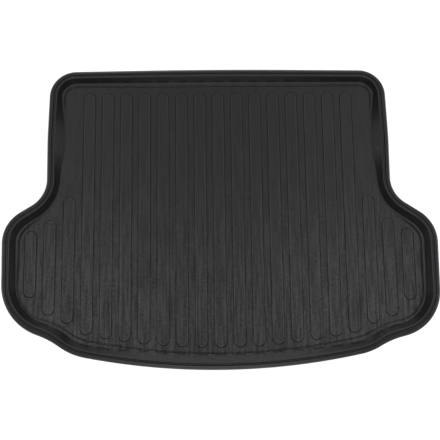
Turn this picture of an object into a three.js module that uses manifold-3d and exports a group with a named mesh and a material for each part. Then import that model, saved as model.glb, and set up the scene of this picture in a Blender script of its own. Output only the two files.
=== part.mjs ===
// Car boot liner: a shallow tray moulded in one piece from a sheet of black rubberised plastic.
// Millimetres. +X runs across the boot, +Y points to the rear seats and +Z is up.
// The origin lies under the middle of the tray, on the plane that the floor rests on.

import * as THREE from 'three';
import { mergeVertices } from 'three/addons/utils/BufferGeometryUtils.js';
import Module from 'manifold-3d';

// Plan of the outer edge: each bend is placed by the sharp corner that it rounds off.
// Half widths are taken from the centre line, depths from the middle of the seat side.
const seatHalfWidth = 515;
const seatCornerDepth = 7;
const flankSplay = 5;
const flankDepth = 222;
const archTaper = 2;
const archDepth = 402.5;
const rightWingReach = 135.5;
const rightWingDepth = 88.5;
const leftWingReach = 130.5;
const leftWingDepth = 81;
const tailEndHalfWidth = 438;
const tailEndDepth = 877.5;
const tailBow = 86.5;
const rightDipReach = 64.5;
const rightDipRise = 37;
const leftDipReach = 64;
const leftDipRise = 46.5;
const rightCornerTaper = 5.5;
const rightCornerRise = 33;
const leftCornerTaper = 6.5;
const leftCornerRise = 50.5;

// The bends by name. The flank splays from the seat corner and tapers to the wheel arch, the wing
// reaches out beyond the arch, and the dip and the rear corner rise from the end of the tail.
const seatBowRadius = 16500;
const tailBowRadius = 2034;
const seatCorner = { halfWidth: seatHalfWidth, depth: seatCornerDepth, radius: 82 };
const flank = { halfWidth: seatHalfWidth + flankSplay, depth: flankDepth, radius: 1400 };
const arch = { halfWidth: flank.halfWidth - archTaper, depth: archDepth, radius: 92 };
const rightWing = { halfWidth: arch.halfWidth + rightWingReach, depth: arch.depth + rightWingDepth, radius: 112 };
const leftWing = { halfWidth: arch.halfWidth + leftWingReach, depth: arch.depth + leftWingDepth, radius: 106 };
const tailEnd = { halfWidth: tailEndHalfWidth, depth: tailEndDepth, radius: 190 };
const rightDip = { halfWidth: tailEnd.halfWidth + rightDipReach, depth: tailEnd.depth - rightDipRise, radius: 256 };
const leftDip = { halfWidth: tailEnd.halfWidth + leftDipReach, depth: tailEnd.depth - leftDipRise, radius: 267 };
const rightCorner = {
  halfWidth: rightWing.halfWidth - rightCornerTaper,
  depth: rightDip.depth - rightCornerRise,
  radius: 146,
};
const leftCorner = {
  halfWidth: leftWing.halfWidth - leftCornerTaper,
  depth: leftDip.depth - leftCornerRise,
  radius: 162,
};
const tailDepth = tailEnd.depth + tailBow;

// Sheet, floor and rim: a rolled lip hangs outside, and a groove parts it from the bead over the wall.
// Distances are measured in from the outer edge, on a rim of the usual width.
const sheet = 2.5;
const lipEdgeHeight = 14.5;
const lipHeight = 29;
const lipRadius = 12.5;
const lipWidth = 13.2;
const grooveStart = 15.2;
const grooveEnd = 18.4;
const grooveHeight = 25.8;
const beadStart = 20.6;
const beadEnd = 24.6;
const beadHeight = 32;
const usualRim = 25.5;
const riserWidth = 2.2;
const creaseWidth = 1.6;

// Wall sections: width of the rim, run of the wall below it, width and height of the ledge at its
// foot, depth of the crease beside the ledge, and how far the pads keep from the crease
const seatWall = { rim: 26.5, run: 12, ledge: 6, step: 3, crease: 0.7, clearance: 22.5 };
const seatCornerWall = { rim: 26.5, run: 8.5, ledge: 6, step: 3, crease: 0.9, clearance: 22 };
const flankWall = { rim: 24.5, run: 26, ledge: 0.8, step: 0.4, crease: 0.1, clearance: 22 };
const archWall = { rim: 24.5, run: 11.5, ledge: 0.8, step: 1, crease: 0.2, clearance: 24 };
const wingWall = { rim: 26, run: 13.5, ledge: 6, step: 4, crease: 1.4, clearance: 11 };
const rightCornerWall = { rim: 23.5, run: 16.5, ledge: 5, step: 3, crease: 0.9, clearance: 19.5 };
const leftCornerWall = { rim: 23.5, run: 16.5, ledge: 2, step: 2.5, crease: 0.4, clearance: 15 };
const dipWall = { rim: 22.5, run: 19, ledge: 6.5, step: 3, crease: 0.6, clearance: 16 };
const tailEndWall = { rim: 20.5, run: 19.5, ledge: 8, step: 3, crease: 1, clearance: 15 };
const tailWall = { rim: 21.5, run: 25.5, ledge: 0.5, step: 2, crease: 1.3, clearance: 16 };

// Raised grip pads on the floor, with the hollow that each one leaves under the sheet
const padPitch = 56.4;
const padWidth = 35.3;
const padRise = 3;
const padDraft = 0.6;
const padEdge = 0.4;
const padHollowInset = 1.8;

// How finely curves are divided
const largestTurn = THREE.MathUtils.degToRad(9);
const longestStep = 50;
const padEndSteps = 6;
const lipSteps = 3;

const floorTop = sheet;
const overlap = sheet / 2;

// Bends of one side, from the seat corner back to the tailgate. side is 1 on the right, -1 on the left.
function sideBends(side, wing, corner, cornerWall, dip) {
  const bend = ({ halfWidth, depth, radius }, wall) => ({ x: side * halfWidth, y: -depth, radius, wall });
  return [
    bend(seatCorner, seatCornerWall),
    bend(flank, flankWall),
    bend(arch, archWall),
    bend(wing, wingWall),
    bend(corner, cornerWall),
    bend(dip, dipWall),
    bend(tailEnd, tailEndWall),
  ];
}

// The bends in order, clockwise as seen from above
const bends = [
  { x: 0, y: 0, radius: seatBowRadius, wall: seatWall },
  ...sideBends(1, rightWing, rightCorner, rightCornerWall, rightDip),
  { x: 0, y: -tailDepth, radius: tailBowRadius, wall: tailWall },
  ...sideBends(-1, leftWing, leftCorner, leftCornerWall, leftDip).reverse(),
];

// The side to the right of a direction of travel, which is the inside of a clockwise outline
function rightOf(direction) {
  return new THREE.Vector2(direction.y, -direction.x);
}

// Gives every point its wall section. A bend keeps its own on the middle half of its arc, and the
// section eases from there to the next bend's.
function easeWalls(points, arcs) {
  let total = 0;
  points.forEach((point, i) => {
    point.along = total;
    total += point.place.distanceTo(points[(i + 1) % points.length].place);
  });
  const holds = arcs.map(({ first, last, wall }) => {
    const start = points[first].along;
    const quarter = (points[last].along - start) / 4;
    return { from: start + quarter, to: start + 3 * quarter, wall };
  });
  holds.push({ ...holds[0], from: holds[0].from + total });
  points.forEach((point) => {
    const along = point.along < holds[0].from ? point.along + total : point.along;
    const next = Math.max(1, holds.findIndex((hold) => hold.from > along));
    const [before, after] = [holds[next - 1], holds[next]];
    const weight = THREE.MathUtils.smoothstep(along, before.to, after.from);
    point.wall = Object.fromEntries(Object.keys(before.wall).map((key) => (
      [key, THREE.MathUtils.lerp(before.wall[key], after.wall[key], weight)]
    )));
  });
}

// Points of the outer edge with every bend rounded: place, direction inwards and wall section.
// Where two rounded bends would run into each other, both get the radius that the side has room for.
function roundOutline(corners) {
  const count = corners.length;
  const sides = corners.map((corner, i) => {
    const next = corners[(i + 1) % count];
    const step = new THREE.Vector2(next.x - corner.x, next.y - corner.y);
    return { length: step.length(), direction: step.clone().normalize() };
  });
  const before = (i) => (i + count - 1) % count;
  const turns = corners.map((corner, i) => {
    const arriving = sides[before(i)].direction;
    const leaving = sides[i].direction;
    return Math.atan2(arriving.cross(leaving), arriving.dot(leaving));
  });
  const wanted = corners.map((corner, i) => corner.radius * Math.tan(Math.abs(turns[i]) / 2));
  const room = sides.map((side, i) => Math.min(1, side.length / (wanted[i] + wanted[(i + 1) % count])));
  const reach = wanted.map((length, i) => length * Math.min(room[before(i)], room[i]));

  const points = [];
  const arcs = [];
  corners.forEach((corner, i) => {
    const arriving = sides[before(i)].direction;
    const radius = reach[i] / Math.tan(Math.abs(turns[i]) / 2);
    const start = new THREE.Vector2(corner.x, corner.y).addScaledVector(arriving, -reach[i]);
    const centre = start.clone().addScaledVector(rightOf(arriving), -Math.sign(turns[i]) * radius);
    const arcLength = Math.abs(turns[i]) * radius;
    const arcSteps = Math.max(1, Math.ceil(Math.abs(turns[i]) / largestTurn), Math.ceil(arcLength / longestStep));
    for (let k = 0; k <= arcSteps; k += 1) {
      const angle = (turns[i] * k) / arcSteps;
      const place = start.clone().rotateAround(centre, angle);
      const direction = arriving.clone().rotateAround(new THREE.Vector2(), angle);
      points.push({ place, inwards: rightOf(direction) });
    }
    arcs.push({ first: points.length - 1 - arcSteps, last: points.length - 1, wall: corner.wall });

    const next = (i + 1) % count;
    const leaving = sides[i].direction;
    const straight = sides[i].length - reach[i] - reach[next];
    const straightSteps = Math.ceil(straight / longestStep);
    const straightStart = new THREE.Vector2(corner.x, corner.y).addScaledVector(leaving, reach[i]);
    for (let k = 1; k < straightSteps; k += 1) {
      const place = straightStart.clone().addScaledVector(leaving, (straight * k) / straightSteps);
      points.push({ place, inwards: rightOf(leaving) });
    }
  });
  easeWalls(points, arcs);
  return points;
}

// Moves the outline so that the middle of its box lies on the origin
function centreOutline(points) {
  const box = new THREE.Box2().setFromPoints(points.map((point) => point.place));
  const middle = box.getCenter(new THREE.Vector2());
  points.forEach((point) => point.place.sub(middle));
  return middle;
}

// Distance in from the outer edge to the middle of the crease at the foot of the wall
function creaseIn(wall) {
  return wall.rim + wall.run + wall.ledge + riserWidth + creaseWidth / 2;
}

// The lip from the outer edge to the groove: distance in from the edge, and height
function lipLine(wall) {
  const scale = wall.rim / usualRim;
  const radius = Math.min(lipRadius, lipWidth * scale);
  const line = [{ distance: 0, height: lipEdgeHeight }];
  for (let k = 0; k <= lipSteps; k += 1) {
    const angle = (Math.PI / 2) * (k / lipSteps);
    const height = lipHeight - radius * (1 - Math.sin(angle));
    line.push({ distance: radius * (1 - Math.cos(angle)), height });
  }
  line.push({ distance: grooveStart * scale, height: grooveHeight });
  return line;
}

// The foot of the wall, with its ledge and crease, and the start of the floor. The last point only
// gives the floor its direction.
function footLine(wall) {
  const foot = wall.rim + wall.run;
  const ledgeEnd = foot + wall.ledge;
  const creaseStart = ledgeEnd + riserWidth;
  const floorStart = creaseStart + 2 * creaseWidth;
  return {
    ledge: [
      { distance: foot, height: floorTop + wall.step },
      { distance: ledgeEnd, height: floorTop + wall.step },
    ],
    crease: [
      { distance: creaseStart, height: floorTop - wall.crease },
      { distance: creaseStart + creaseWidth, height: floorTop - wall.crease },
    ],
    floor: [
      { distance: floorStart, height: floorTop },
      { distance: floorStart + sheet, height: floorTop },
    ],
  };
}

// Upper face of the sheet from the outer edge inwards
function upperFace(wall) {
  const scale = wall.rim / usualRim;
  const { ledge, crease, floor } = footLine(wall);
  return [
    ...lipLine(wall),
    { distance: grooveEnd * scale, height: grooveHeight },
    { distance: beadStart * scale, height: beadHeight },
    { distance: beadEnd * scale, height: beadHeight },
    ...ledge,
    ...crease,
    ...floor,
  ];
}

// The line that the underside follows: straight on under the bead and the crease
function plainFace(wall) {
  const { ledge, floor } = footLine(wall);
  const wallTop = (beadEnd * wall.rim) / usualRim;
  const [foot] = ledge;
  const underBead = THREE.MathUtils.mapLinear(grooveHeight, beadHeight, foot.height, wallTop, foot.distance);
  return [...lipLine(wall), { distance: underBead, height: grooveHeight }, ...ledge, ...floor];
}

// Underside of the sheet: the plain line moved down by the sheet's thickness, square to each stretch
function underFace(wall) {
  const line = plainFace(wall);
  const stretch = (from, to) => {
    const step = new THREE.Vector2(to.distance - from.distance, to.height - from.height);
    return rightOf(step.normalize());
  };
  return line.slice(0, -1).map((point, i) => {
    const leaving = stretch(point, line[i + 1]);
    const arriving = i > 0 ? stretch(line[i - 1], point) : leaving;
    const middle = arriving.clone().add(leaving).normalize();
    const length = sheet / middle.dot(leaving);
    return {
      distance: point.distance + middle.x * length,
      height: Math.max(0, point.height + middle.y * length),
    };
  });
}

// A closed surface through rings that all have the same number of points, with a flat cap at each end.
// The rings run clockwise as seen from above, from the last one inside the top to the one under it.
function loft(rings) {
  const count = rings[0].length;
  const geometry = new THREE.BufferGeometry();
  geometry.setAttribute('position', new THREE.Float32BufferAttribute(rings.flat(2), 3));
  const faces = [];
  for (let row = 0; row + 1 < rings.length; row += 1) {
    for (let i = 0; i < count; i += 1) {
      const next = (i + 1) % count;
      const inner = row * count;
      const outer = inner + count;
      faces.push(inner + i, inner + next, outer + i);
      faces.push(inner + next, outer + next, outer + i);
    }
  }
  const cap = (ring) => {
    const contour = ring.map(([x, y]) => new THREE.Vector2(x, y));
    return THREE.ShapeUtils.triangulateShape(contour, []);
  };
  const last = (rings.length - 1) * count;
  cap(rings[0]).forEach(([a, b, c]) => faces.push(a, b, c));
  cap(rings[rings.length - 1]).forEach(([a, b, c]) => faces.push(last + a, last + c, last + b));
  geometry.setIndex(faces);
  return geometry;
}

// The tray without its pads: the section carried round the outline, over the rim and back underneath
function trayGeometry(outline) {
  const upper = outline.map((point) => upperFace(point.wall).slice(0, -1));
  const under = outline.map((point) => underFace(point.wall));
  const ringOf = (faces, row) => outline.map((point, i) => {
    const { distance, height } = faces[i][row];
    const place = point.place.clone().addScaledVector(point.inwards, distance);
    return [place.x, place.y, height];
  });
  const upperRings = upper[0].map((_, row) => ringOf(upper, row)).reverse();
  const underRings = under[0].map((_, row) => ringOf(under, row));
  return loft([...upperRings, ...underRings]);
}

// One ring of a pad: straight sides along Y between two round ends, clockwise as seen from above
function padRing(pad, inset, height) {
  const radius = padWidth / 2 - inset;
  const ring = [];
  [pad.seatEnd, pad.tailEnd].forEach((end, half) => {
    for (let k = 0; k <= padEndSteps; k += 1) {
      const angle = Math.PI * (1 - half - k / padEndSteps);
      ring.push([pad.x + radius * Math.cos(angle), end + radius * Math.sin(angle), height]);
    }
  });
  return ring;
}

// A pad's raised body, which starts inside the sheet, and the hollow below it
function padBody(pad) {
  const top = floorTop + padRise;
  return loft([
    padRing(pad, padDraft + padEdge, top),
    padRing(pad, padDraft, top - padEdge),
    padRing(pad, 0, floorTop),
    padRing(pad, 0, floorTop - overlap),
  ]);
}

function padHollow(pad) {
  return loft([
    padRing(pad, padHollowInset + padDraft, padRise),
    padRing(pad, padHollowInset, 0),
    padRing(pad, padHollowInset, -overlap),
  ]);
}

// Pads side by side across the floor. Their round ends keep their clearance from the foot of the wall.
function placePads(outline, middle) {
  const path = outline.map(({ place, inwards, wall }) => {
    const distance = creaseIn(wall) + wall.clearance + padWidth / 2;
    return place.clone().addScaledVector(inwards, distance);
  });
  const padAt = (x) => {
    const crossings = [];
    path.forEach((from, i) => {
      const to = path[(i + 1) % path.length];
      if ((from.x <= x) !== (to.x <= x)) {
        crossings.push(THREE.MathUtils.mapLinear(x, from.x, to.x, from.y, to.y));
      }
    });
    return { x, seatEnd: Math.max(...crossings), tailEnd: Math.min(...crossings) };
  };
  const fits = (pad) => pad.seatEnd - pad.tailEnd > padWidth;
  const pads = [padAt(-middle.x)];
  [1, -1].forEach((side) => {
    for (let k = 1; fits(padAt(side * k * padPitch - middle.x)); k += 1) {
      pads.push(padAt(side * k * padPitch - middle.x));
    }
  });
  return pads;
}

const wasm = await Module();
wasm.setup();

function toSolid(geometry) {
  geometry.deleteAttribute('normal');
  geometry.deleteAttribute('uv');
  const merged = mergeVertices(geometry);
  return new wasm.Manifold(new wasm.Mesh({
    numProp: 3,
    vertProperties: merged.attributes.position.array,
    triVerts: Uint32Array.from(merged.index.array),
  }));
}

function toGeometry(solid) {
  const { vertProperties, triVerts } = solid.getMesh();
  const geometry = new THREE.BufferGeometry();
  geometry.setAttribute('position', new THREE.BufferAttribute(vertProperties, 3));
  geometry.setIndex(new THREE.BufferAttribute(triVerts, 1));
  geometry.computeVertexNormals();
  return geometry;
}

// The liner: tray, raised pads and the hollows under them, all one solid
function linerGeometry() {
  const outline = roundOutline(bends);
  const middle = centreOutline(outline);
  const pads = placePads(outline, middle);
  let solid = toSolid(trayGeometry(outline));
  pads.forEach((pad) => {
    solid = solid.add(toSolid(padBody(pad))).subtract(toSolid(padHollow(pad)));
  });
  return toGeometry(solid);
}

const blackPlastic = new THREE.MeshStandardMaterial({ color: 0x2d2d2c, roughness: 0.6, metalness: 0 });

const bootLiner = new THREE.Group();
bootLiner.name = 'car_boot_liner';
const liner = new THREE.Mesh(linerGeometry(), blackPlastic);
liner.name = 'boot_liner';
bootLiner.add(liner);

export default bootLiner;
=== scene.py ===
# Car boot liner: a shallow tray moulded in one piece from black rubberised plastic.
# Metres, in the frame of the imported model: +X across the boot, +Y to the rear seats, +Z up.
import itertools
import math

import bpy
import numpy as np
from mathutils import Matrix, Vector
from mathutils.geometry import tessellate_polygon


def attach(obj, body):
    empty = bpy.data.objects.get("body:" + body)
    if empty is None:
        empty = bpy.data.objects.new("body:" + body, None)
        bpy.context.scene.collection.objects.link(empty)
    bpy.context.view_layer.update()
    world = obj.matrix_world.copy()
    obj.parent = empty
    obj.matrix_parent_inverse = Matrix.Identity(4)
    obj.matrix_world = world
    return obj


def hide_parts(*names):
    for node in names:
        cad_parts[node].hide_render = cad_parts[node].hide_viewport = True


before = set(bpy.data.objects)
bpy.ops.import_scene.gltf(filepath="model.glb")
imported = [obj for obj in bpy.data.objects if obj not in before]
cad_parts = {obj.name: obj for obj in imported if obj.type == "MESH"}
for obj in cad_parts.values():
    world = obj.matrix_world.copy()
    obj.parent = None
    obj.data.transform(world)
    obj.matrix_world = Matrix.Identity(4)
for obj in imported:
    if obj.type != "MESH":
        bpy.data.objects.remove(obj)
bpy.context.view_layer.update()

MM = 0.001

# Camera, as the photograph was taken: almost from above, leaning towards the tailgate side
IMAGE_SIZE = 440
FOCAL_PIXELS = 1000.0
SENSOR_WIDTH = 36.0
CAMERA_TARGET = (-0.89 * MM, -12.12 * MM, 0.0)
CAMERA_DISTANCE = 3011.7 * MM
CAMERA_LEAN = math.radians(12.97)
CAMERA_SIDE = math.radians(-1.08)
CAMERA_ROLL = math.radians(-0.76)

# Rim, as in the solid model: a rolled lip outside, a groove, and a bead over the wall. The distances in
# from the outer edge are for a rim of RIM_WIDTH, and change with its width.
SHEET = 2.5 * MM
RIM_WIDTH = 25.5 * MM
LIP_EDGE = 14.5 * MM
LIP_TOP = 29 * MM
LIP_RADIUS = 12.5 * MM
LIP_WIDTH = 13.2 * MM
GROOVE_START = 15.2 * MM
GROOVE_END = 18.4 * MM
GROOVE_HEIGHT = 25.8 * MM
GROOVE_FILLET = 1.2 * MM
BEAD_START = 20.6 * MM
BEAD_END = 24.6 * MM
BEAD_HEIGHT = 32 * MM
BEAD_OUTER_FILLET = 1.4 * MM
BEAD_INNER_FILLET = 1.8 * MM
UNDER_BEAD_FILLET = 2 * MM

# Foot of the wall: ledge, riser, fine crease, and the flat beside it
FOOT_FILLET = 3 * MM
LEDGE_FILLET = 1.5 * MM
RISER_WIDTH = 2.2 * MM
CREASE_WIDTH = 1.6 * MM
CREASE_FILLET = 0.8 * MM
FLAT_MARGIN = 3 * MM
SMALLEST_FILLET = 0.6 * MM

# The curves are finer here than in the solid, so the outer edge is moved in to stay inside its box
BOX_MARGIN = 0.006 * MM

# Pads and the hollows under them, and the fine groove round each pad. The groove's floor is given as
# two shares of its width out from the pad.
PAD_PITCH = 56.4 * MM
PAD_WIDTH = 35.3 * MM
PAD_RISE = 3 * MM
PAD_DRAFT = 0.9 * MM
PAD_SHOULDER = 2.0 * MM
PAD_MARGIN = 0.8 * MM
PAD_HOLLOW_INSET = 1.8 * MM
PAD_GROOVE_WIDTH = 1.6 * MM
PAD_GROOVE_DEPTH = 0.55 * MM
PAD_GROOVE_FLOOR = (0.6, 0.1)
PAD_GROOVE_EDGE_FILLET = 0.4 * MM
PAD_GROOVE_FILLET = 0.3 * MM

# Band of polish at the edge of a pad's top, inwards from its shoulder: start, full, fading, end
POLISH_START = -0.4 * MM
POLISH_FULL = 0.6 * MM
POLISH_FADE = 2.2 * MM
POLISH_END = 3.4 * MM

# Wall sections: width of the rim, run of the wall, width and height of the ledge at its foot, depth
# of the crease beside it, and how far the pads keep from the crease
SEAT_WALL = np.array([26.5, 12, 6, 3, 0.7, 22.5]) * MM
SEAT_CORNER_WALL = np.array([26.5, 8.5, 6, 3, 0.9, 22]) * MM
FLANK_WALL = np.array([24.5, 26, 0.8, 0.4, 0.1, 22]) * MM
ARCH_WALL = np.array([24.5, 11.5, 0.8, 1, 0.2, 24]) * MM
WING_WALL = np.array([26, 13.5, 6, 4, 1.4, 11]) * MM
RIGHT_CORNER_WALL = np.array([23.5, 16.5, 5, 3, 0.9, 19.5]) * MM
LEFT_CORNER_WALL = np.array([23.5, 16.5, 2, 2.5, 0.4, 15]) * MM
DIP_WALL = np.array([22.5, 19, 6.5, 3, 0.6, 16]) * MM
TAIL_END_WALL = np.array([20.5, 19.5, 8, 3, 1, 15]) * MM
TAIL_WALL = np.array([21.5, 25.5, 0.5, 2, 1.3, 16]) * MM

# Bends of the outer edge: half width, depth behind the seat side, radius, in millimetres
RIGHT_WING = (653.5, 491, 112)
LEFT_WING = (648.5, 483.5, 106)
RIGHT_CORNER = (648, 807.5, 146)
LEFT_CORNER = (642, 780.5, 162)
RIGHT_DIP = (502.5, 840.5, 256)
LEFT_DIP = (502, 831, 267)

# How finely curves are divided
LARGEST_TURN = math.radians(2.5)
LONGEST_STEP = 14 * MM
FILLET_STEPS = 6
PAD_FILLET_STEPS = 4
PAD_END_STEPS = 16
SMALLEST_TURN = 1e-4
SMALLEST_REACH = 1e-9
CLOSEST_PLACES = 0.1 * MM

# Share of a straight stretch of a section that the fillets at its two ends may take up
FILLET_ROOM = 0.96

# Plastic: colour and roughness of its dark and light spots, and scale per metre and depth of its textures
DARK_SPOTS = (0.0068, 0.0068, 0.0066, 1.0)
LIGHT_SPOTS = (0.0098, 0.0098, 0.0095, 1.0)
DARK_ROUGHNESS = 0.29
LIGHT_ROUGHNESS = 0.24
GRAIN_SCALE = 620.0
GRAIN_DEPTH = 0.25 * MM
FINE_GRAIN_SCALE = 1500.0
FINE_GRAIN_DEPTH = 0.12 * MM
MOTTLE_SCALE = 150.0
STREAK_SCALE = (150.0, 9.0, 20.0)

# Sums of the mottling's and the streaks' noise at which a spot is fully dark or light
DARK_TONE = 0.8
LIGHT_TONE = 1.2

# Shine of the plastic, how much more the pads' edges have, and how much it differs from spot to spot
# near the seat side and near the tailgate side
GLOSS = 0.238
EDGE_POLISH = 0.10
SEAT_END = 0.35
TAIL_END = -0.25
SEAT_SPREAD = 0.01
TAIL_SPREAD = 0.18

# The spots have their full strength up to the pads' tops, and a share of it higher up the wall
SPOTS_TOP = 5.7 * MM
WALL_START = 8 * MM
WALL_SHARE = 0.25

# Ground and surround of the tray: a strength of 1 shows as white
WORLD_LIGHT = 0.5
FLOOR_GLOW = 0.6
FLOOR_SIZE = 30.0
FLOOR_GAP = 0.3 * MM

# Lamps: name, azimuth from +X and height over the floor in degrees, size across and along, watts.
# Each one stands at the same distance and faces the middle of the tray.
LAMP_DISTANCE = 3.2
HIGH_LAMP_SIZE = (1.4, 1.0)
LOW_LAMP_SIZE = (1.8, 0.8)
LAMPS = [
    ("high_right", 0, 71, HIGH_LAMP_SIZE, 7.0),
    ("high_left", 180, 71, HIGH_LAMP_SIZE, 6.6),
    ("overhead", 90, 88, HIGH_LAMP_SIZE, 3.4),
    ("upper_seat_right", 45, 55, HIGH_LAMP_SIZE, 3.0),
    ("upper_seat_middle", 90, 55, HIGH_LAMP_SIZE, 1.0),
    ("upper_seat_left", 135, 55, HIGH_LAMP_SIZE, 3.4),
    ("upper_tail", 270, 55, HIGH_LAMP_SIZE, 20.0),
    ("low_right", 0, 12, LOW_LAMP_SIZE, 13.5),
    ("low_seat", 90, 12, LOW_LAMP_SIZE, 23.0),
    ("low_left", 180, 12, LOW_LAMP_SIZE, 13.5),
    ("low_tail", 270, 12, LOW_LAMP_SIZE, 19.0),
]


def side_bends(side, wing, corner, corner_wall, dip):
    """Bends of one side from the seat corner to the tailgate; side is 1 on the right and -1 on the left."""
    rows = [
        ((515, 7, 82), SEAT_CORNER_WALL),
        ((520, 222, 1400), FLANK_WALL),
        ((518, 402.5, 92), ARCH_WALL),
        (wing, WING_WALL),
        (corner, corner_wall),
        (dip, DIP_WALL),
        ((438, 877.5, 190), TAIL_END_WALL),
    ]
    return [(side * x * MM, -depth * MM, radius * MM, wall) for (x, depth, radius), wall in rows]


BENDS = [
    (0, 0, 16500 * MM, SEAT_WALL),
    *side_bends(1, RIGHT_WING, RIGHT_CORNER, RIGHT_CORNER_WALL, RIGHT_DIP),
    (0, -964 * MM, 2034 * MM, TAIL_WALL),
    *side_bends(-1, LEFT_WING, LEFT_CORNER, LEFT_CORNER_WALL, LEFT_DIP)[::-1],
]


def turned(vector, angle):
    """The vector turned to the left by the angle."""
    c, s = math.cos(angle), math.sin(angle)
    return np.array([c * vector[0] - s * vector[1], s * vector[0] + c * vector[1]])


def right_of(direction):
    """The direction turned to the right by a quarter turn."""
    return np.array([direction[1], -direction[0]])


def turns_between(arriving, leaving):
    """Signed angle of each turn, to the left as positive, from unit directions before and after it."""
    return np.arctan2(
        arriving[:, 0] * leaving[:, 1] - arriving[:, 1] * leaving[:, 0],
        np.sum(arriving * leaving, axis=1),
    )


def ease_walls(places, arcs, walls):
    """Wall section at each place: a bend keeps its own on the middle half of its arc, then eases on."""
    steps = np.linalg.norm(np.diff(places, axis=0, append=places[:1]), axis=1)
    along = np.concatenate([[0], np.cumsum(steps)])
    total = along[-1]
    ends = along[np.array(arcs)]
    middle, quarter = ends.mean(axis=1), (ends[:, 1] - ends[:, 0]) / 4
    knots = np.stack([middle - quarter, middle + quarter], axis=1).ravel()
    phases = np.repeat(np.arange(len(walls)), 2)
    spots = np.where(along[:-1] < knots[0], along[:-1] + total, along[:-1])
    phase = np.interp(spots, np.append(knots, knots[0] + total), np.append(phases, len(walls)))
    first = np.floor(phase).astype(int) % len(walls)
    share = (phase % 1)[:, None]
    walls = np.array(walls)
    return walls[first] + (walls[(first + 1) % len(walls)] - walls[first]) * share * share * (3 - 2 * share)


def round_outline(bends):
    """Places, inward directions and wall sections round the outer edge, with every bend rounded."""
    count = len(bends)
    corners = np.array([bend[:2] for bend in bends])
    steps = np.roll(corners, -1, axis=0) - corners
    lengths = np.linalg.norm(steps, axis=1)
    ways = steps / lengths[:, None]
    arriving = np.roll(ways, 1, axis=0)
    turns = turns_between(arriving, ways)
    wanted = np.array([bend[2] for bend in bends]) * np.tan(np.abs(turns) / 2)
    room = np.minimum(1, lengths / (wanted + np.roll(wanted, -1)))
    reach = wanted * np.minimum(room, np.roll(room, 1))
    places, inwards, arcs = [], [], []
    for i in range(count):
        radius = reach[i] / math.tan(abs(turns[i]) / 2)
        start = corners[i] - arriving[i] * reach[i]
        centre = start - right_of(arriving[i]) * np.sign(turns[i]) * radius
        arc = abs(turns[i]) * radius
        arc_steps = max(math.ceil(abs(turns[i]) / LARGEST_TURN), math.ceil(arc / LONGEST_STEP))
        if places and np.linalg.norm(places[-1] - start) < CLOSEST_PLACES:
            places.pop()
            inwards.pop()
        for k in range(arc_steps + 1):
            angle = turns[i] * k / arc_steps
            places.append(centre + turned(start - centre, angle))
            inwards.append(right_of(turned(arriving[i], angle)))
        arcs.append((len(places) - 1 - arc_steps, len(places) - 1))
        after = (i + 1) % count
        straight = lengths[i] - reach[i] - reach[after]
        straight_steps = math.ceil(straight / LONGEST_STEP)
        for k in range(1, straight_steps):
            places.append(corners[i] + ways[i] * (reach[i] + straight * k / straight_steps))
            inwards.append(right_of(ways[i]))
    places = np.array(places)
    return places, np.array(inwards), ease_walls(places, arcs, [bend[3] for bend in bends])


def rim_corners(wall):
    """Corners of the rim from the outer edge to the groove, and the two of the bead."""
    share = wall[0] / RIM_WIDTH
    lip = [
        (0, LIP_EDGE, 0),
        (0, LIP_TOP, LIP_RADIUS),
        (LIP_WIDTH * share, LIP_TOP, GROOVE_FILLET),
        (GROOVE_START * share, GROOVE_HEIGHT, GROOVE_FILLET),
    ]
    bead = [
        (GROOVE_END * share, GROOVE_HEIGHT, GROOVE_FILLET),
        (BEAD_START * share, BEAD_HEIGHT, BEAD_OUTER_FILLET),
        (BEAD_END * share, BEAD_HEIGHT, BEAD_INNER_FILLET),
    ]
    return lip, bead


def foot_corners(wall):
    """Corners at the foot of the wall: ledge, riser, crease and floor."""
    rim, run, ledge, step, crease_depth, _ = wall
    foot = rim + run
    ledge_end = foot + ledge
    crease = ledge_end + RISER_WIDTH
    floor = crease + 2 * CREASE_WIDTH
    return [
        (foot, SHEET + step, FOOT_FILLET),
        (ledge_end, SHEET + step, LEDGE_FILLET),
        (crease, SHEET - crease_depth, CREASE_FILLET),
        (crease + CREASE_WIDTH, SHEET - crease_depth, CREASE_FILLET),
        (floor, SHEET, CREASE_FILLET),
        (floor + FLAT_MARGIN, SHEET, 0),
    ]


def upper_corners(wall):
    """Corners of the sheet's upper face from the outer edge inwards: distance in, height, fillet radius."""
    lip, bead = rim_corners(wall)
    return [*lip, *bead, *foot_corners(wall)]


def under_corners(wall):
    """Corners of the underside: a plainer upper face, straight on under the bead, moved in by the sheet."""
    lip, bead = rim_corners(wall)
    foot, ledge, _, _, floor, end = foot_corners(wall)
    bead_end = bead[-1][0]
    share = (BEAD_HEIGHT - GROOVE_HEIGHT) / (BEAD_HEIGHT - foot[1])
    under_bead = (bead_end + (foot[0] - bead_end) * share, GROOVE_HEIGHT, UNDER_BEAD_FILLET)
    line = np.array([*lip, under_bead, foot, ledge, floor, end])
    ways = np.diff(line[:, :2], axis=0)
    ways /= np.linalg.norm(ways, axis=1)[:, None]
    normals = np.stack([ways[:, 1], -ways[:, 0]], axis=1)
    corners = []
    for i, (distance, height, radius) in enumerate(line):
        before = normals[max(i - 1, 0)]
        after = normals[min(i, len(normals) - 1)]
        middle = (before + after) / np.linalg.norm(before + after)
        moved = np.array([distance, height]) + middle * SHEET / middle.dot(after)
        turn = before[0] * after[1] - before[1] * after[0]
        rounded = 0 if radius == 0 else max(SMALLEST_FILLET, radius + SHEET * np.sign(turn))
        corners.append((moved[0], max(0.0, moved[1]), rounded))
    return corners


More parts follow.
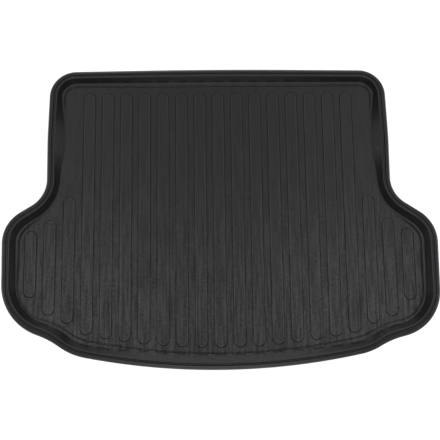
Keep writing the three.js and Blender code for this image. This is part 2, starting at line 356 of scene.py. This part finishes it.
def round_line(corners, fillet_steps):
    """Points of an open line with its inner corners rounded; a corner of no radius stays one point."""
    line = np.array([corner[:2] for corner in corners])
    radii = np.array([corner[2] for corner in corners])
    steps = np.diff(line, axis=0)
    lengths = np.linalg.norm(steps, axis=1)
    ways = steps / lengths[:, None]
    arriving, leaving = ways[:-1], ways[1:]
    turns = turns_between(arriving, leaving)
    turns = np.where(np.abs(turns) < SMALLEST_TURN, SMALLEST_TURN, turns)
    wanted = np.concatenate([[0], radii[1:-1] * np.tan(np.abs(turns) / 2), [0]])
    fillets = np.maximum(wanted[:-1] + wanted[1:], SMALLEST_REACH)
    room = np.minimum(1, FILLET_ROOM * lengths / fillets)
    reach = wanted[1:-1] * np.minimum(room[:-1], room[1:])
    points = [line[0]]
    for i, turn in enumerate(turns):
        start = line[i + 1] - arriving[i] * reach[i]
        if radii[i + 1] == 0:
            points.append(start)
            continue
        centre = start - right_of(arriving[i]) * np.sign(turn) * reach[i] / math.tan(abs(turn) / 2)
        for k in range(fillet_steps + 1):
            points.append(centre + turned(start - centre, turn * k / fillet_steps))
    points.append(line[-1])
    return np.array(points)


class Surface:
    """Collects vertices with their polish, and faces."""

    def __init__(self):
        self.vertices = []
        self.polish = []
        self.faces = []

    def ring(self, places, heights, polish=0.0):
        """Adds a closed row of vertices and returns their numbers."""
        first = len(self.vertices)
        self.vertices.extend((x, y, z) for (x, y), z in zip(places, heights))
        self.polish.extend([polish] * len(heights))
        return list(range(first, len(self.vertices)))

    def bridge(self, inner, outer):
        """Faces between two rings. Seen from the side where both run clockwise, inner lies inside outer."""
        for i in range(len(inner)):
            after = (i + 1) % len(inner)
            self.faces.append((inner[i], inner[after], outer[after], outer[i]))

    def fill(self, ring, holes, up):
        """Flat faces inside a ring, round its holes."""
        loops = [ring, *holes]
        flat = [index for loop in loops for index in loop]
        points = [[Vector((*self.vertices[index][:2], 0)) for index in loop] for loop in loops]
        for triangle in tessellate_polygon(points):
            a, b, c = (flat[i] for i in triangle)
            pa, pb, pc = (np.array(self.vertices[i][:2]) for i in (a, b, c))
            area = (pb - pa)[0] * (pc - pa)[1] - (pb - pa)[1] * (pc - pa)[0]
            self.faces.append((a, b, c) if (area > 0) == up else (a, c, b))


def place_pads(places, inwards, walls, centre_line):
    """Middle of each pad across the floor, and the middles of its two round ends."""
    rim, run, ledge, _, _, clearance = walls.T
    crease = rim + run + ledge + RISER_WIDTH + CREASE_WIDTH / 2
    path = places + inwards * (crease + clearance + PAD_WIDTH / 2)[:, None]
    after = np.roll(path, -1, axis=0)

    def pad_at(x):
        crossing = (path[:, 0] <= x) != (after[:, 0] <= x)
        a, b = path[crossing], after[crossing]
        y = a[:, 1] + (x - a[:, 0]) / (b[:, 0] - a[:, 0]) * (b[:, 1] - a[:, 1])
        return (x, y.max(), y.min()) if len(y) else None

    pads = [pad_at(centre_line)]
    for side in (1, -1):
        for k in itertools.count(1):
            pad = pad_at(side * k * PAD_PITCH + centre_line)
            if pad is None or pad[1] - pad[2] <= PAD_WIDTH:
                break
            pads.append(pad)
    return pads


def pad_outline(pad, inset):
    """Clockwise outline of a pad: two straight sides along Y and two round ends."""
    x, seat_end, tail_end = pad
    radius = PAD_WIDTH / 2 - inset
    points = []
    for half, end in enumerate((seat_end, tail_end)):
        for k in range(PAD_END_STEPS + 1):
            angle = math.pi * (1 - half - k / PAD_END_STEPS)
            points.append((x + radius * math.cos(angle), end + radius * math.sin(angle)))
    return points


def pad_section(inset, low, high, groove):
    """Inset and height of a pad's edge from the flat round it, through a fine groove, to its flat top."""
    groove_edge = inset - PAD_GROOVE_WIDTH
    floor_out, floor_in = (inset - share * PAD_GROOVE_WIDTH for share in PAD_GROOVE_FLOOR)
    shoulder = inset + PAD_DRAFT
    corners = [
        (groove_edge - PAD_MARGIN, low, 0),
        (groove_edge, low, PAD_GROOVE_EDGE_FILLET),
        (floor_out, low - groove, PAD_GROOVE_FILLET),
        (floor_in, low - groove, PAD_GROOVE_FILLET),
        (shoulder, high, PAD_SHOULDER),
        (shoulder + POLISH_FADE, high, 0),
        (shoulder + POLISH_END, high, 0),
    ]
    return round_line(corners, PAD_FILLET_STEPS)


def add_tray(surface, places, inwards, walls):
    """The sheet from the floor out over the rim and back underneath; returns its two floor rings."""
    upper = np.array([round_line(upper_corners(wall), FILLET_STEPS)[::-1] for wall in walls])
    under = np.array([round_line(under_corners(wall), FILLET_STEPS) for wall in walls])
    rings = []
    for sections in (upper, under):
        for row in range(sections.shape[1]):
            spots = places + inwards * sections[:, row, 0][:, None]
            rings.append(surface.ring(spots, sections[:, row, 1]))
    for inner, outer in zip(rings, rings[1:]):
        surface.bridge(inner, outer)
    return rings[0], rings[-1]


def add_pad_face(surface, pad, inset, low, high, groove, up):
    """A pad's upper face, or the hollow under it if up is False; returns its outermost ring."""
    loops = []
    for edge_inset, height in pad_section(inset, low, high, groove):
        outline = pad_outline(pad, edge_inset)
        beside = edge_inset - inset - PAD_DRAFT
        polish = np.interp(beside, [POLISH_START, POLISH_FULL, POLISH_FADE, POLISH_END], [0, 1, 1, 0])
        loops.append(surface.ring(outline, [height] * len(outline), polish if up else 0))
    for outer, inner in zip(loops, loops[1:]):
        if up:
            surface.bridge(inner, outer)
        else:
            surface.bridge(outer, inner)
    surface.fill(loops[-1], [], up)
    return loops[0]


def liner_mesh():
    """The whole tray, with the polish of its pads' edges as an attribute of its points."""
    places, inwards, walls = round_outline(BENDS)
    middle = (places.min(axis=0) + places.max(axis=0)) / 2
    places = places - middle + inwards * BOX_MARGIN
    surface = Surface()
    floor_ring, under_ring = add_tray(surface, places, inwards, walls)
    top_holes, under_holes = [], []
    for pad in place_pads(places, inwards, walls, -middle[0]):
        top_holes.append(add_pad_face(surface, pad, 0, SHEET, SHEET + PAD_RISE, PAD_GROOVE_DEPTH, True))
        under_holes.append(add_pad_face(surface, pad, PAD_HOLLOW_INSET, 0, PAD_RISE, 0, False))
    surface.fill(floor_ring, top_holes, True)
    surface.fill(under_ring, under_holes, False)

    mesh = bpy.data.meshes.new("liner_shell")
    mesh.from_pydata([tuple(map(float, vertex)) for vertex in surface.vertices], [], surface.faces)
    polish = mesh.attributes.new("polish", "FLOAT", "POINT")
    polish.data.foreach_set("value", surface.polish)
    mesh.validate()
    mesh.shade_smooth()
    return mesh


def give(tree, socket, value):
    """Gives a socket its value; a value that is a socket itself is linked."""
    if isinstance(value, bpy.types.NodeSocket):
        tree.links.new(value, socket)
    else:
        socket.default_value = value


def node(tree, kind, **inputs):
    """A shader node with the given inputs, whose names have an underscore for each space."""
    made = tree.nodes.new(kind)
    for name, value in inputs.items():
        give(tree, made.inputs[name.replace("_", " ")], value)
    return made


def computed(tree, operation, *values):
    """Result of a math node on values or sockets."""
    made = tree.nodes.new("ShaderNodeMath")
    made.operation = operation
    for socket, value in zip(made.inputs, values):
        give(tree, socket, value)
    return made.outputs["Value"]


def mixed(tree, factor, low, high, start=0.0, end=1.0):
    """A value that runs from low to high as the factor runs from start to end."""
    ramp = node(
        tree, "ShaderNodeMapRange", Value=factor, From_Min=start, From_Max=end, To_Min=low, To_Max=high,
    )
    return ramp.outputs["Result"]


def black_plastic():
    """Black rubberised plastic: moulded grain, mottling, streaks along the pads, and polished pad edges."""
    material = bpy.data.materials.new("black_rubberised_plastic")
    material.use_nodes = True
    tree = material.node_tree
    tree.nodes.clear()
    coordinates = node(tree, "ShaderNodeTexCoord").outputs["Object"]
    place = node(tree, "ShaderNodeSeparateXYZ", Vector=coordinates)

    mottle = node(
        tree, "ShaderNodeTexNoise", Vector=coordinates, Scale=MOTTLE_SCALE, Detail=4.0, Roughness=0.7,
    )
    stretched = node(tree, "ShaderNodeMapping", Vector=coordinates, Scale=STREAK_SCALE)
    streaks = node(tree, "ShaderNodeTexNoise", Vector=stretched.outputs["Vector"], Scale=1.0, Detail=3.0)
    tones = computed(tree, "ADD", mottle.outputs["Fac"], streaks.outputs["Fac"])
    spots = mixed(tree, tones, -0.5, 0.5, DARK_TONE, LIGHT_TONE)
    strength = mixed(tree, place.outputs["Z"], WALL_SHARE, 1.0, WALL_START, SPOTS_TOP)
    uneven = computed(tree, "MULTIPLY", spots, strength)
    blend = computed(tree, "ADD", uneven, 0.5)
    colour = node(tree, "ShaderNodeMix")
    colour.data_type = "RGBA"
    give(tree, colour.inputs["Factor"], blend)
    colour.inputs[6].default_value = DARK_SPOTS
    colour.inputs[7].default_value = LIGHT_SPOTS

    spread = mixed(tree, place.outputs["Y"], SEAT_SPREAD, TAIL_SPREAD, SEAT_END, TAIL_END)
    spotted = computed(tree, "MULTIPLY_ADD", uneven, spread, GLOSS)
    edges = node(tree, "ShaderNodeAttribute")
    edges.attribute_name = "polish"
    gloss = computed(tree, "ADD", mixed(tree, edges.outputs["Fac"], 0.0, EDGE_POLISH), spotted)

    grain = node(tree, "ShaderNodeTexVoronoi", Vector=coordinates, Scale=GRAIN_SCALE)
    fine_grain = node(tree, "ShaderNodeTexNoise", Vector=coordinates, Scale=FINE_GRAIN_SCALE, Detail=3.0)
    grain_bump = node(
        tree, "ShaderNodeBump", Height=grain.outputs["Distance"], Strength=0.35, Distance=GRAIN_DEPTH,
    )
    fine_bump = node(
        tree, "ShaderNodeBump", Height=fine_grain.outputs["Fac"], Strength=0.25, Distance=FINE_GRAIN_DEPTH,
        Normal=grain_bump.outputs["Normal"],
    )
    shader = node(
        tree, "ShaderNodeBsdfPrincipled", Base_Color=colour.outputs[2], Normal=fine_bump.outputs["Normal"],
        Roughness=mixed(tree, blend, DARK_ROUGHNESS, LIGHT_ROUGHNESS), Specular_IOR_Level=gloss,
    )
    output = node(tree, "ShaderNodeOutputMaterial")
    tree.links.new(shader.outputs["BSDF"], output.inputs["Surface"])
    return material


def make_liner():
    liner = bpy.data.objects.new("liner_shell", liner_mesh())
    bpy.context.scene.collection.objects.link(liner)
    liner.data.materials.append(black_plastic())
    weighted = liner.modifiers.new("even_shading", "WEIGHTED_NORMAL")
    weighted.keep_sharp = True
    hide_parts("boot_liner")
    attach(liner, "root")


def seen_rays(tree):
    """1 for camera, glossy and transmission rays, which see a white ground, and 0 for light on things."""
    path = node(tree, "ShaderNodeLightPath").outputs
    glossy = computed(tree, "MAXIMUM", path["Is Camera Ray"], path["Is Glossy Ray"])
    return computed(tree, "MAXIMUM", glossy, path["Is Transmission Ray"])


def floor_material():
    """White floor that keeps its shadows and shows as a white ground to the camera."""
    material = bpy.data.materials.new("white_floor")
    material.use_nodes = True
    tree = material.node_tree
    tree.nodes.clear()
    paint = node(tree, "ShaderNodeBsdfDiffuse", Color=(0.8, 0.8, 0.8, 1.0))
    glow = node(tree, "ShaderNodeEmission", Strength=mixed(tree, seen_rays(tree), 0.0, FLOOR_GLOW))
    both = node(tree, "ShaderNodeAddShader")
    tree.links.new(paint.outputs["BSDF"], both.inputs[0])
    tree.links.new(glow.outputs["Emission"], both.inputs[1])
    output = node(tree, "ShaderNodeOutputMaterial")
    tree.links.new(both.outputs["Shader"], output.inputs["Surface"])
    return material


def make_floor():
    half = FLOOR_SIZE / 2
    mesh = bpy.data.meshes.new("studio_floor")
    corners = [(x, y, -FLOOR_GAP) for x, y in ((-half, -half), (half, -half), (half, half), (-half, half))]
    mesh.from_pydata(corners, [], [(0, 1, 2, 3)])
    floor = bpy.data.objects.new("studio_floor", mesh)
    bpy.context.scene.collection.objects.link(floor)
    mesh.materials.append(floor_material())


def make_lamps():
    for name, azimuth, elevation, size, power in LAMPS:
        around, over = math.radians(azimuth), math.radians(elevation)
        level = LAMP_DISTANCE * math.cos(over)
        height = LAMP_DISTANCE * math.sin(over)
        place = Vector((level * math.cos(around), level * math.sin(around), height))
        lamp = bpy.data.lights.new(name, "AREA")
        lamp.shape = "RECTANGLE"
        lamp.size, lamp.size_y = size
        lamp.energy = power
        holder = bpy.data.objects.new(name, lamp)
        bpy.context.scene.collection.objects.link(holder)
        holder.location = place
        holder.rotation_euler = (-place).to_track_quat("-Z", "Y").to_euler()


def make_world():
    world = bpy.data.worlds.new("studio")
    bpy.context.scene.world = world
    world.use_nodes = True
    tree = world.node_tree
    background = tree.nodes["Background"]
    background.inputs["Color"].default_value = (1.0, 1.0, 1.0, 1.0)
    give(tree, background.inputs["Strength"], mixed(tree, seen_rays(tree), WORLD_LIGHT, 1.0))


def make_camera():
    lean, side, roll = CAMERA_LEAN, CAMERA_SIDE, CAMERA_ROLL
    back = Vector((math.sin(side), -math.sin(lean) * math.cos(side), math.cos(lean) * math.cos(side)))
    level = Vector((0, 1, 0)).cross(back).normalized()
    upright = back.cross(level)
    right = level * math.cos(roll) + upright * math.sin(roll)
    up = upright * math.cos(roll) - level * math.sin(roll)
    data = bpy.data.cameras.new("camera")
    data.sensor_width = SENSOR_WIDTH
    data.lens = SENSOR_WIDTH * FOCAL_PIXELS / IMAGE_SIZE
    camera = bpy.data.objects.new("camera", data)
    bpy.context.scene.collection.objects.link(camera)
    turn = Matrix((right, up, back)).transposed().to_4x4()
    camera.matrix_world = Matrix.Translation(Vector(CAMERA_TARGET) + back * CAMERA_DISTANCE) @ turn
    bpy.context.scene.camera = camera


make_camera()
make_world()
make_lamps()
make_floor()
make_liner()
bpy.context.scene.view_settings.view_transform = "Standard"
